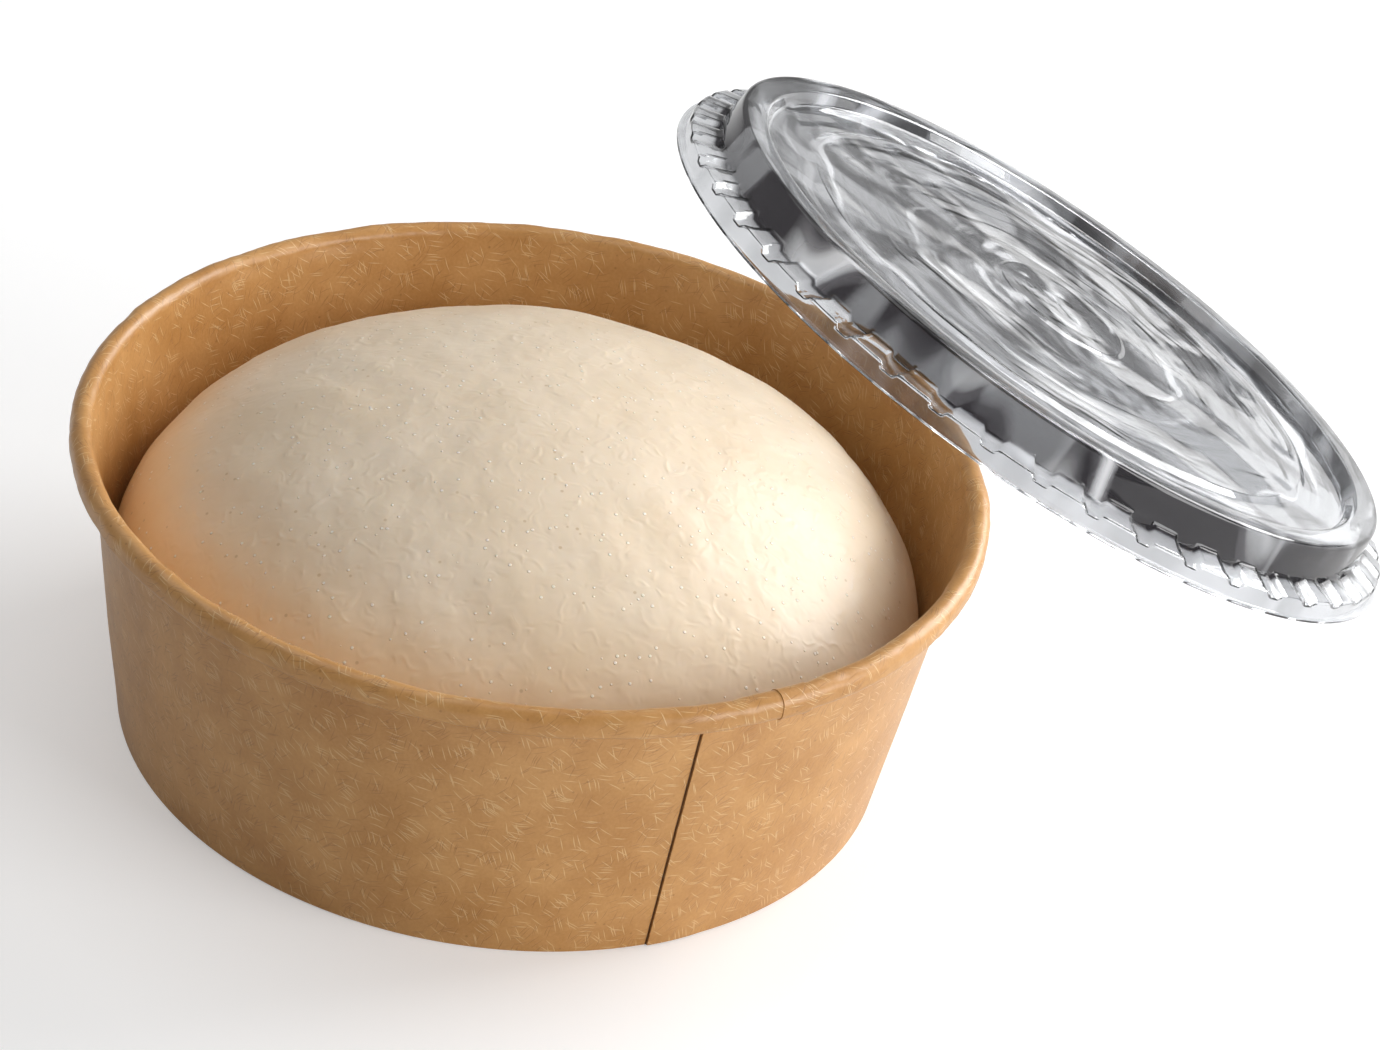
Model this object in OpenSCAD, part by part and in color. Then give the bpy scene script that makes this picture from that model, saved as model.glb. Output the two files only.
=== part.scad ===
// Round paperboard dough proofing bowl with a clear snap lid leaning on its rim.
// Origin: centre of the foot ring, on the surface that the bowl stands on. +Z is up.
// The lid leans with its low edge on that surface, towards +X.

/* [Bowl] */
// Outside diameter over the rolled rim
rim_d = 185; // [150:1:220]
// Outside diameter at the foot
base_d = 158.5; // [120:0.5:175]
// Height from the foot to the top of the rolled rim
bowl_h = 65.5; // [55:0.5:90]
// Thickness of the paperboard
board = 0.5; // [0.35:0.05:0.7]

/* [Rolled rim] */
// Width of the rolled rim, across its section
bead_w = 5.1; // [4.5:0.1:6.5]
// Height of the rolled rim's section
bead_h = 6.2; // [5.5:0.1:7.5]
// Slit that is left where the rolled edge ends below the rim
curl_slit = 0.4; // [0.2:0.05:0.6]

/* [Lap seam] */
// Direction of the outer edge of the lap seam, anticlockwise from +X
seam_az = -84.3; // [-180:0.1:180]
// Width of the lap, as an angle
lap_deg = 8.7; // [6:0.1:12]
// How far the outer ply stands proud at its edge
lap_step = 0.4; // [0.2:0.05:0.6]
// Width of the thicker stretch of the rim, where the rolled edge laps
curl_lap_deg = 4.1; // [3:0.1:8]
// How far that stretch stands proud
curl_lap_step = 0.2; // [0.1:0.05:0.3]

/* [Foot and bottom disc] */
// Height of the underside of the bottom disc above the table
recess = 5; // [4:0.1:8]
// Gap of the glued joints between the plies of board
glue_gap = 0.05; // [0.02:0.01:0.1]
// Gap above and below the edges that end inside the folded foot
fold_gap = 0.4; // [0.2:0.05:0.8]
// Chamfer that stands for the bend at the foot of the fold
fold_chamfer = 0.3; // [0.1:0.05:0.5]

/* [Dough] */
// Height of the top of the risen dough above the table
dough_top = 77; // [60:0.5:85]
// Height of the ring where the dough leaves the wall
dough_waist = 31; // [22:0.5:36]
// Gap between the dough and the board
dough_gap = 0.4; // [0.3:0.05:1]
// Radius of the dough's lower edge
dough_edge_r = 6; // [3:0.5:10]

/* [Lid] */
// Thickness of the clear formed sheet
sheet = 0.5; // [0.35:0.05:0.7]
// Width of the flat lip round the bottom edge
lip_w = 1.4; // [1:0.1:3]
// Gap between the skirt of the lid and the widest part of the rim
skirt_gap = 0.4; // [0.3:0.05:1.2]
// Height of the skirt
skirt_h = 4.4; // [3.6:0.1:5.5]
// Width of the slope that is broken at the top of the skirt
skirt_ledge = 0.4; // [0.3:0.05:0.6]
// Width of the sloping ring that lies over the rolled rim
cap_w = 6.2; // [5.5:0.1:7.5]
// How far that ring rises from the skirt to the foot of the wall
cap_rise = 1.6; // [0.8:0.1:2.5]
// Height of the lid, from its lip to its crown
lid_h = 13.8; // [11:0.1:20]
// How far the wall of the lid leans in, from its foot to the crown
wall_draft = 1; // [0.5:0.1:2]
// Width of the raised crown ring
crown_w = 6.4; // [3:0.1:8]
// Depth of the step from the crown down to the panel
panel_drop = 2.8; // [1.5:0.1:4]
// Inner radius of the low ring round the panel
low_ring_r = 67.5; // [55:0.5:72]
// Height of the raised panel above the low ring
panel_rise = 0.9; // [0.4:0.1:2]
// Radius of the small round mark in the middle
mark_r = 17; // [8:0.5:25]
// Height of that mark
mark_h = 0.6; // [0.3:0.1:1]
// Radius of the formed bends
bend_r = 1.1; // [0.6:0.1:1.6]

/* [Notches] */
// Number of notches round the foot of the wall
notch_n = 45; // [24:1:60]
// Width of each notch, as an angle
notch_deg = 3.4; // [2:0.1:5]
// How far each notch is pressed down
notch_drop = 1.1; // [0.6:0.1:1.4]
// Width of the wall on each side of a notch, as an angle
notch_wall_deg = 0.3; // [0.25:0.05:0.5]

/* [Where the lid leans] */
// Tilt of the lid, its low side towards +X
lid_tilt = 26.3; // [15:0.1:35]
// How far the middle of the lid lies to the +Y side of the bowl's axis
lid_side = 62.8; // [0:0.1:75]
// Gap between the lid and what it leans on
lean_gap = 0.3; // [0.3:0.05:1]

/* [Hidden] */
$fn = 96;

// Cutting shapes reach this far past what they cut.
spare = 1;
// The lap's cone meets the wall at its width, and its sector ends a little further on.
lap_fade_deg = 2;
// The search for where the lid leans ends when the gap is right to within this.
lean_fit = 0.05;
dome_step_deg = 5;

rim_r = rim_d / 2;
base_r = base_d / 2;
bead_r = bead_w / 2;
bead_half = bead_h / 2 - bead_r;
bead_ring_r = rim_r - bead_r;
bead_z = bowl_h - bead_h / 2;

// The wall is a cone whose inner face runs flush into the rolled rim.
wall_slope = (rim_r - bead_w + board - base_r) / bead_z;
function wall_out(z) = base_r + wall_slope * z;
function wall_in(z) = wall_out(z) - board;

// The fold at the foot holds the skirt of the bottom disc between two plies.
skirt_out = board + glue_gap;
skirt_in = skirt_out + board;
hem_out = skirt_in + glue_gap;
hem_in = hem_out + board;
hem_top = recess - fold_gap;
disc_top = recess + board;
disc_skirt_low = board + fold_gap;

// Radii of the lid follow the rim that it snaps over.
skirt_r = rim_r + skirt_gap + sheet;
lip_r = skirt_r + lip_w;
foot_r = skirt_r - skirt_ledge - cap_w;
foot_z = skirt_h + cap_rise;
crown_r = foot_r - wall_draft;
step_r = crown_r - crown_w;
low_ring_z = lid_h - panel_drop;
panel_z = low_ring_z + panel_rise;

// Table of the corners of the lid's upper face, from the middle to the lip: radius, height.
lid_corners = [
    [0, panel_z + mark_h],
    [mark_r - mark_h, panel_z + mark_h],
    [mark_r + mark_h, panel_z],
    [low_ring_r - 2 * panel_rise, panel_z],
    [low_ring_r, low_ring_z],
    [step_r - panel_drop / 2, low_ring_z],
    [step_r, lid_h],
    [crown_r, lid_h],
    [foot_r, foot_z],
    [skirt_r - skirt_ledge, skirt_h],
    [skirt_r, skirt_h - skirt_ledge],
    [skirt_r + sheet / 2, sheet],
    [lip_r, sheet]
];

function unit(v) = v / norm(v);
function side(v) = [-v[1], v[0]];

// Points of the round that replaces a corner: an arc about a centre on the bisector.
function rounded(a, p, b, r, n) =
    let (u = unit(a - p), v = unit(b - p), half = acos(u * v) / 2,
         reach = min(r / tan(half), 0.45 * norm(a - p), 0.45 * norm(b - p)),
         rr = reach * tan(half), c = p + unit(u + v) * rr / sin(half),
         s = p + u * reach - c, e = p + v * reach - c)
    [for (i = [0:n]) c + rr * unit(s * (n - i) / n + e * i / n)];

function bent(line, r, n) = concat([line[0]],
    [for (i = [1:len(line) - 2]) each rounded(line[i - 1], line[i], line[i + 1], r, n)],
    [line[len(line) - 1]]);

// The same line moved down by the sheet's thickness, square to each stretch.
function under(line, t) = [for (i = [0:len(line) - 1])
    let (d0 = unit(line[max(i, 1)] - line[max(i, 1) - 1]),
         d1 = unit(line[min(i, len(line) - 2) + 1] - line[min(i, len(line) - 2)]),
         m = unit(side(d0) + side(d1)))
    line[i] - m * t / (m * side(d0))];

function reversed(list) = [for (i = [len(list) - 1:-1:0]) list[i]];

// How far the lip of the leaning lid stays above the rolled rim, where the two cross.
function bead_top(rho) =
    let (x = (rho - bead_ring_r) / bead_r)
    bead_z + bead_half + bead_r * sqrt(max(0, 1 - x * x));
function lip_point(x, z, r, a) =
    [x + r * cos(a) * cos(lid_tilt), lid_side + r * sin(a), z - r * cos(a) * sin(lid_tilt)];
function lean_clear(x, z) = min([for (r = [skirt_r, lip_r], a = [90:1:270])
    let (p = lip_point(x, z, r, a), rho = norm([p[0], p[1]]))
    abs(rho - bead_ring_r) < bead_r + lean_gap ? p[2] - bead_top(rho) : bowl_h]);

// The lid stands on its low edge and is moved in along X until its lip is the gap above the rim.
function lean_x(low, high, steps) =
    let (mid = (low + high) / 2)
    steps == 0 ? high : lean_clear(mid, lid_z) < lean_gap + lean_fit
        ? lean_x(mid, high, steps - 1) : lean_x(low, mid, steps - 1);
lid_z = lip_r * sin(lid_tilt) + lean_gap;
lid_x = lean_x(rim_r, rim_r + 2 * lip_r, 14);
echo(lid_x = lid_x, lid_z = lid_z, lip_r = lip_r, crown_r = crown_r, step_r = step_r);

// Section of the rolled rim: two half rounds joined by straight sides.
module bead_section(r) {
    translate([bead_ring_r, bead_z + bead_half]) circle(r, $fn = 48);
    translate([bead_ring_r, bead_z - bead_half]) circle(r, $fn = 48);
    translate([bead_ring_r - r, bead_z - bead_half]) square([2 * r, 2 * bead_half]);
}

// Section of the wall with its folded foot, which is turned up inside the bottom disc's skirt.
module wall_section() {
    polygon([
        [wall_out(0) - fold_chamfer, 0],
        [wall_out(fold_chamfer), fold_chamfer],
        [wall_out(bead_z), bead_z],
        [wall_in(bead_z), bead_z],
        [wall_in(board), board],
        [wall_out(board) - hem_out, board],
        [wall_out(hem_top) - hem_out, hem_top],
        [wall_out(hem_top) - hem_in, hem_top],
        [wall_out(fold_chamfer) - hem_in, fold_chamfer],
        [wall_out(0) - hem_in + fold_chamfer, 0]
    ]);
}

// The outer ply at the lap: a narrower cone moved towards the seam, so that it stands proud
// at the ply's edge and fades into the wall over the width of the lap.
module lap() {
    shift = lap_step / (1 - cos(lap_deg));
    lap_low = 2 * fold_chamfer;
    lap_h = bead_z - bead_half - lap_low;
    rotate([0, 0, seam_az]) difference() {
        intersection() {
            translate([shift, 0, lap_low])
                cylinder(h = lap_h, r1 = wall_out(lap_low) - shift + lap_step,
                         r2 = wall_out(lap_low + lap_h) - shift + lap_step, $fn = 180);
            rotate_extrude(angle = lap_deg + lap_fade_deg) square([rim_r, bowl_h]);
        }
        translate([0, 0, lap_low - spare])
            cylinder(h = lap_h + 2 * spare, r1 = wall_out(lap_low - spare) - board / 2,
                     r2 = wall_out(lap_low + lap_h + spare) - board / 2, $fn = 180);
    }
}

// One blank of kraft board, rolled into a cone, lapped, folded at the foot and curled at the rim.
module side_wall() {
    color("#C1935B") {
        rotate_extrude($fn = 180) {
            wall_section();
            difference() {
                bead_section(bead_r);
                bead_section(bead_r - board);
                translate([bead_ring_r - bead_r + board, bead_z - bead_h / 2 - spare])
                    square([curl_slit, bead_r + spare]);
            }
        }
        lap();
        rotate([0, 0, seam_az + lap_deg])
            rotate_extrude(angle = curl_lap_deg, $fn = 180) difference() {
                bead_section(bead_r + curl_lap_step);
                bead_section(bead_r - board / 2);
                translate([bead_ring_r - bead_r - spare, bead_z - bead_h])
                    square([bead_r + spare, bead_h + bead_half]);
            }
    }
}

// Flat disc with its edge turned down into the fold of the wall.
module bottom_disc() {
    color("#B78750") rotate_extrude($fn = 180) polygon([
        [0, recess],
        [wall_out(recess) - skirt_in, recess],
        [wall_out(disc_skirt_low) - skirt_in, disc_skirt_low],
        [wall_out(disc_skirt_low) - skirt_out, disc_skirt_low],
        [wall_out(disc_top) - skirt_out, disc_top],
        [0, disc_top]
    ]);
}

// Risen dough: it fills the foot of the bowl and leaves the wall in an elliptical dome.
module dough() {
    low = disc_top + dough_gap;
    waist_r = wall_in(dough_waist) - dough_gap;
    low_r = wall_in(low) - dough_gap;
    dome_h = dough_top - dough_waist;
    color("#DCC9A8") rotate_extrude($fn = 180) polygon(concat(
        [[0, low]],
        rounded([0, low], [low_r, low], [waist_r, dough_waist], dough_edge_r, 6),
        [for (a = [0:dome_step_deg:90 - dome_step_deg])
            [waist_r * cos(a), dough_waist + dome_h * sin(a)]],
        [[0, dough_top]]
    ));
}

// A ring of notches, each a short stretch of the section given.
module notch_ring(wide) {
    for (i = [0:notch_n - 1])
        rotate([0, 0, (i + 0.5) * 360 / notch_n - wide / 2])
            rotate_extrude(angle = wide, $fn = 180) children();
}

// The lid as it lies level, with the underside of its lip at z = 0. Each notch runs from the foot
// of the wall out through the top of the skirt.
module level_lid() {
    face = bent(lid_corners, bend_r, 3);
    difference() {
        union() {
            rotate_extrude($fn = 180) polygon(concat(face, reversed(under(face, sheet))));
            notch_ring(notch_deg + 2 * notch_wall_deg) polygon([
                [foot_r - sheet, foot_z - notch_drop - sheet],
                [skirt_r - sheet / 2, skirt_h - notch_drop - sheet],
                [skirt_r - sheet / 2, skirt_h - skirt_ledge - sheet / 2],
                [skirt_r - skirt_ledge - sheet, skirt_h - sheet / 2],
                [foot_r + sheet / 2, foot_z - sheet / 2],
                [foot_r - sheet, foot_z + sheet]
            ]);
        }
        notch_ring(notch_deg) polygon([
            [foot_r, foot_z - notch_drop],
            [skirt_r + sheet, skirt_h - notch_drop],
            [skirt_r + sheet, skirt_h],
            [foot_r, foot_z + bend_r]
        ]);
    }
}

// The lid where it was put down: on its low edge, leaning over the rim.
module lid() {
    color("#B9C0C4", 0.45)
        translate([lid_x, lid_side, lid_z]) rotate([0, lid_tilt, 0]) level_lid();
}

side_wall();
bottom_disc();
dough();
lid();
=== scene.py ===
"""Paperboard proofing bowl with risen dough and a clear formed lid that leans on its rolled rim.

Every piece is made in metres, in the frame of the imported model: the origin is the middle of the
bowl's foot on the table, +Z is up, and +X is the downhill side of the leaning lid.
"""

import logging
import math
from dataclasses import dataclass
from enum import Enum

import bmesh
import bpy
import numpy as np
from mathutils import Matrix, Vector


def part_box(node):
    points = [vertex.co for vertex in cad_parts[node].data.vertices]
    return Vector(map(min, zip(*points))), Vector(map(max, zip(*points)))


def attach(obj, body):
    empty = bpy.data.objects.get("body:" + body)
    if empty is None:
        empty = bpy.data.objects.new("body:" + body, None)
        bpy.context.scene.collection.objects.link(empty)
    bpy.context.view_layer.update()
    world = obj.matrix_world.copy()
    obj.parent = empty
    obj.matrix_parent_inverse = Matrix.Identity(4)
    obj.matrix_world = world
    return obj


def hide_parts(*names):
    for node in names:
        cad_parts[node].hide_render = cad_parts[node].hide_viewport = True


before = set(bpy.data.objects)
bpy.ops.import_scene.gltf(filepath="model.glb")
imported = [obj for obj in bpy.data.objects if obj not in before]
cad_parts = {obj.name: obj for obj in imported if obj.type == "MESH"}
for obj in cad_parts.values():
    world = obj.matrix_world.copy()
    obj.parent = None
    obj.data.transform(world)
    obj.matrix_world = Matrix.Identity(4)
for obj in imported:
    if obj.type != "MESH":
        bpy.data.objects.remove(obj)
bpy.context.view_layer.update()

log = logging.getLogger("proofing_bowl")

MM = 0.001
PHOTO_WIDTH_PX = 1400
PHOTO_HEIGHT_PX = 1050
SENSOR_MM = 36.0


class Ends(Enum):
    """How the rows of a grid end: joined into a ring, or each drawn together into a point."""

    RING = "ring"
    POLES = "poles"


# Shapes


def ripple(points: np.ndarray, wavelength: float, seed: int, waves: int = 28) -> np.ndarray:
    """A smooth random field in space, for the small unevenness of real surfaces.

    It is the sum of plane waves: each has a random direction and phase, and a length of 0.7 to 1.4
    times the one given. The sum is divided by the root of half their number, so that it has a
    standard deviation of 1.

    Args:
        points: places in metres, with x, y and z on the last axis.
        wavelength: usual distance from crest to crest, in metres.
        seed: picks the waves.
        waves: how many waves are added up.

    Returns:
        One value for each place.
    """
    rng = np.random.default_rng(seed)
    directions = rng.normal(size=(waves, 3))
    directions /= np.linalg.norm(directions, axis=1, keepdims=True)
    lengths = wavelength * rng.uniform(0.7, 1.4, waves)
    phases = rng.uniform(0.0, 2.0 * math.pi, waves)
    turns = points @ (directions / lengths[:, None]).T
    return np.sin(2.0 * math.pi * turns + phases).sum(axis=-1) / math.sqrt(waves / 2.0)


def smooth_step(value: np.ndarray, low: float, high: float) -> np.ndarray:
    """Rises smoothly from 0 at low to 1 at high: 3t^2 - 2t^3 of the share t of the way."""
    share = np.clip((value - low) / (high - low), 0.0, 1.0)
    return share * share * (3.0 - 2.0 * share)


def rounded(corners: np.ndarray, radius: float, steps: int) -> np.ndarray:
    """A line of straight stretches with each inner corner rounded by an arc.

    The arc touches both stretches and its centre is on the corner's bisector. It takes at most
    0.45 of a stretch, so on a short one its radius is less.

    Args:
        corners: the corners, one x and y a row.
        radius: radius of the arcs, in metres.
        steps: how many stretches each arc has.

    Returns:
        The line's points, one x and y a row.
    """
    points = [corners[0]]
    for before, corner, after in zip(corners[:-2], corners[1:-1], corners[2:]):
        back, ahead = before - corner, after - corner
        room = 0.45 * min(np.linalg.norm(back), np.linalg.norm(ahead))
        back, ahead = back / np.linalg.norm(back), ahead / np.linalg.norm(ahead)
        half = math.acos(np.clip(back @ ahead, -1.0, 1.0)) / 2.0
        reach = min(radius / math.tan(half), room)
        arc_radius = reach * math.tan(half)
        centre = corner + (back + ahead) / np.linalg.norm(back + ahead) * arc_radius / math.sin(half)
        share = np.linspace(0.0, 1.0, steps + 1)[:, None]
        spokes = (corner + back * reach - centre) * (1.0 - share) + (corner + ahead * reach - centre) * share
        points.extend(centre + arc_radius * spokes / np.linalg.norm(spokes, axis=1, keepdims=True))
    points.append(corners[-1])
    return np.array(points)


def arc(centre: tuple[float, float], radius: float, start: float, end: float, steps: int) -> np.ndarray:
    """Points on an arc about a centre, from one angle to the other, both in degrees."""
    angles = np.radians(np.linspace(start, end, steps + 1))
    return np.stack([centre[0] + radius * np.cos(angles), centre[1] + radius * np.sin(angles)], axis=1)


def beside(line: np.ndarray, distance: float) -> np.ndarray:
    """The line moved to its right by a distance, square to each stretch, with mitred corners."""
    along = np.diff(line, axis=0)
    along /= np.linalg.norm(along, axis=1, keepdims=True)
    before = np.vstack([along[:1], along])
    after = np.vstack([along, along[-1:]])
    right_before = np.stack([before[:, 1], -before[:, 0]], axis=1)
    right_after = np.stack([after[:, 1], -after[:, 0]], axis=1)
    mitre = right_before + right_after
    mitre /= np.linalg.norm(mitre, axis=1, keepdims=True)
    return line + mitre * distance / (mitre * right_before).sum(axis=1, keepdims=True)


def path_length(line: np.ndarray) -> np.ndarray:
    """Distance along a line of points from its start to each point."""
    return np.concatenate([[0.0], np.cumsum(np.linalg.norm(np.diff(line, axis=0), axis=1))])


def divided(line: np.ndarray, longest: float) -> np.ndarray:
    """The same line with points added, so that no stretch is longer than the length given."""
    points = [line[:1]]
    for start, end in zip(line[:-1], line[1:]):
        count = max(1, math.ceil(np.linalg.norm(end - start) / longest))
        share = np.linspace(0.0, 1.0, count + 1)[1:, None]
        points.append(start + (end - start) * share)
    return np.vstack(points)


def turned(radius: np.ndarray, height: np.ndarray, angles: np.ndarray) -> np.ndarray:
    """A profile carried round the Z axis: x = r cos a, y = r sin a, z = h on a grid of rows and angles.

    Args:
        radius: radius of each point, for each row or for each row and angle.
        height: height of each point, in the same form.
        angles: the angles of the columns, in radians.

    Returns:
        An array of rows by columns by 3.
    """
    rows = radius.shape[0]
    radius = np.broadcast_to(radius.reshape(rows, -1), (rows, len(angles)))
    height = np.broadcast_to(height.reshape(rows, -1), (rows, len(angles)))
    return np.stack([radius * np.cos(angles), radius * np.sin(angles), height], axis=-1)


def grid_piece(
    name: str,
    points: np.ndarray,
    chart: np.ndarray,
    ends: Ends,
    weights: dict[str, np.ndarray] | None = None,
    crease: float = 40.0,
) -> bpy.types.Object:
    """A mesh object from a grid of points that closes round its columns.

    Args:
        name: name of the piece.
        points: rows by columns by 3, in metres.
        chart: the piece's own map, one row and one column more than the grid has faces.
        ends: how the rows end.
        weights: named values, one for each point, that the material reads.
        crease: angle between faces past which an edge stays sharp, in degrees.

    Returns:
        The new object, at the origin, with its faces outwards.
    """
    rows, columns = points.shape[:2]
    face_rows = rows if ends is Ends.RING else rows - 1
    row = np.arange(face_rows)[:, None]
    column = np.arange(columns)[None, :]
    next_row, next_column = (row + 1) % rows, (column + 1) % columns
    corners = [row * columns + column, row * columns + next_column]
    corners += [next_row * columns + next_column, next_row * columns + column]
    faces = np.stack(corners, axis=-1).reshape(-1, 4)
    mesh = bpy.data.meshes.new(name)
    mesh.from_pydata(points.reshape(-1, 3).tolist(), [], faces.tolist())
    places = [chart[:-1, :-1], chart[:-1, 1:], chart[1:, 1:], chart[1:, :-1]]
    layer = mesh.uv_layers.new(name="surface")
    layer.data.foreach_set("uv", np.stack(places, axis=2).astype(np.float32).ravel())
    for key, values in (weights or {}).items():
        attribute = mesh.attributes.new(key, "FLOAT", "POINT")
        attribute.data.foreach_set("value", values.astype(np.float32).ravel())
    close_and_turn_out(mesh)
    mesh.polygons.foreach_set("use_smooth", np.ones(len(mesh.polygons), dtype=bool))
    mesh.set_sharp_from_angle(angle=math.radians(crease))
    piece = bpy.data.objects.new(name, mesh)
    bpy.context.scene.collection.objects.link(piece)
    return piece


def close_and_turn_out(mesh: bpy.types.Mesh) -> None:
    """Merges points that coincide, as at a pole, and turns every face outwards."""
    shape = bmesh.new()
    shape.from_mesh(mesh)
    bmesh.ops.remove_doubles(shape, verts=shape.verts, dist=0.0001 * MM)
    bmesh.ops.recalc_face_normals(shape, faces=shape.faces)
    shape.to_mesh(mesh)
    shape.free()
    mesh.update()


# Finishes


def linear(colour: str) -> tuple[float, float, float, float]:
    """The scene's linear colour for an sRGB hex value such as "#C1935B"."""
    parts = [int(colour[i : i + 2], 16) / 255.0 for i in (1, 3, 5)]
    red, green, blue = (p / 12.92 if p <= 0.04045 else ((p + 0.055) / 1.055) ** 2.4 for p in parts)
    return (red, green, blue, 1.0)


def per_metre(size_mm: float) -> float:
    """Texture scale at which a pattern repeats about every size_mm millimetres."""
    return 1000.0 / size_mm


def add_node(tree: bpy.types.NodeTree, kind: str, links: dict | None = None, **settings) -> bpy.types.Node:
    """Adds one node with its settings and links.

    Args:
        tree: the material's node tree.
        kind: Blender's name of the node type.
        links: input names or numbers, each with a value or with the output that feeds it.
        settings: the node's own properties.

    Returns:
        The new node.
    """
    node = tree.nodes.new(kind)
    for key, value in settings.items():
        setattr(node, key, value)
    for key, value in (links or {}).items():
        if isinstance(value, bpy.types.NodeSocket):
            tree.links.new(value, node.inputs[key])
        else:
            node.inputs[key].default_value = value
    return node


def new_material(name: str) -> tuple[bpy.types.Material, bpy.types.NodeTree]:
    """A material with an empty node tree."""
    material = bpy.data.materials.new(name)
    material.use_nodes = True
    material.node_tree.nodes.clear()
    return material, material.node_tree


def fibre_mask(
    tree: bpy.types.NodeTree,
    chart: bpy.types.NodeSocket,
    turn: float,
    size_mm: tuple[float, float],
    share: float,
) -> bpy.types.NodeSocket:
    """Short straight fibres that lie one way: 1 on a fibre and 0 beside it.

    The chart is turned and stretched, so that the round spot about each Voronoi point becomes a
    thin streak. The cell's own random colour keeps only a share of the streaks.

    Args:
        tree: the material's node tree.
        chart: coordinates along the surface, in metres.
        turn: direction of the fibres, in degrees.
        size_mm: length and width of a fibre.
        share: share of the cells that hold a fibre.

    Returns:
        The mask's output.
    """
    spot = 0.3
    length, width = (per_metre(size / (2.0 * spot)) for size in size_mm)
    turned_chart = add_node(
        tree,
        "ShaderNodeVectorRotate",
        {"Vector": chart, "Angle": math.radians(turn)},
        rotation_type="Z_AXIS",
    )
    stretched = add_node(
        tree,
        "ShaderNodeVectorMath",
        {0: turned_chart.outputs[0], 1: (length, width, 0.0)},
        operation="MULTIPLY",
    )
    cells = add_node(
        tree,
        "ShaderNodeTexVoronoi",
        {"Vector": stretched.outputs[0], "Scale": 1.0, "Randomness": 1.0},
        voronoi_dimensions="2D",
    )
    streak = add_node(
        tree,
        "ShaderNodeMapRange",
        {"Value": cells.outputs["Distance"], "From Min": spot, "From Max": spot * 0.35},
    )
    pick = add_node(tree, "ShaderNodeSeparateColor", {"Color": cells.outputs["Color"]})
    kept = add_node(tree, "ShaderNodeMath", {0: pick.outputs[0], 1: share}, operation="LESS_THAN")
    both = add_node(
        tree,
        "ShaderNodeMath",
        {0: streak.outputs["Result"], 1: kept.outputs[0]},
        operation="MULTIPLY",
    )
    return both.outputs[0]


def strongest(tree: bpy.types.NodeTree, masks: list[bpy.types.NodeSocket]) -> bpy.types.NodeSocket:
    """The greatest of several masks at each place."""
    result = masks[0]
    for mask in masks[1:]:
        result = add_node(tree, "ShaderNodeMath", {0: result, 1: mask}, operation="MAXIMUM").outputs[0]
    return result


def blended(
    tree: bpy.types.NodeTree,
    share: bpy.types.NodeSocket | float,
    first: bpy.types.NodeSocket | tuple,
    second: bpy.types.NodeSocket | tuple,
) -> bpy.types.NodeSocket:
    """The first colour turning into the second with the share."""
    return add_node(tree, "ShaderNodeMix", {0: share, 6: first, 7: second}, data_type="RGBA").outputs[2]


def scaled(tree: bpy.types.NodeTree, value: bpy.types.NodeSocket, factor: float, offset: float = 0.0) -> bpy.types.NodeSocket:
    """A value times a factor plus an offset."""
    return add_node(tree, "ShaderNodeMath", {0: value, 1: factor, 2: offset}, operation="MULTIPLY_ADD").outputs[0]


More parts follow.
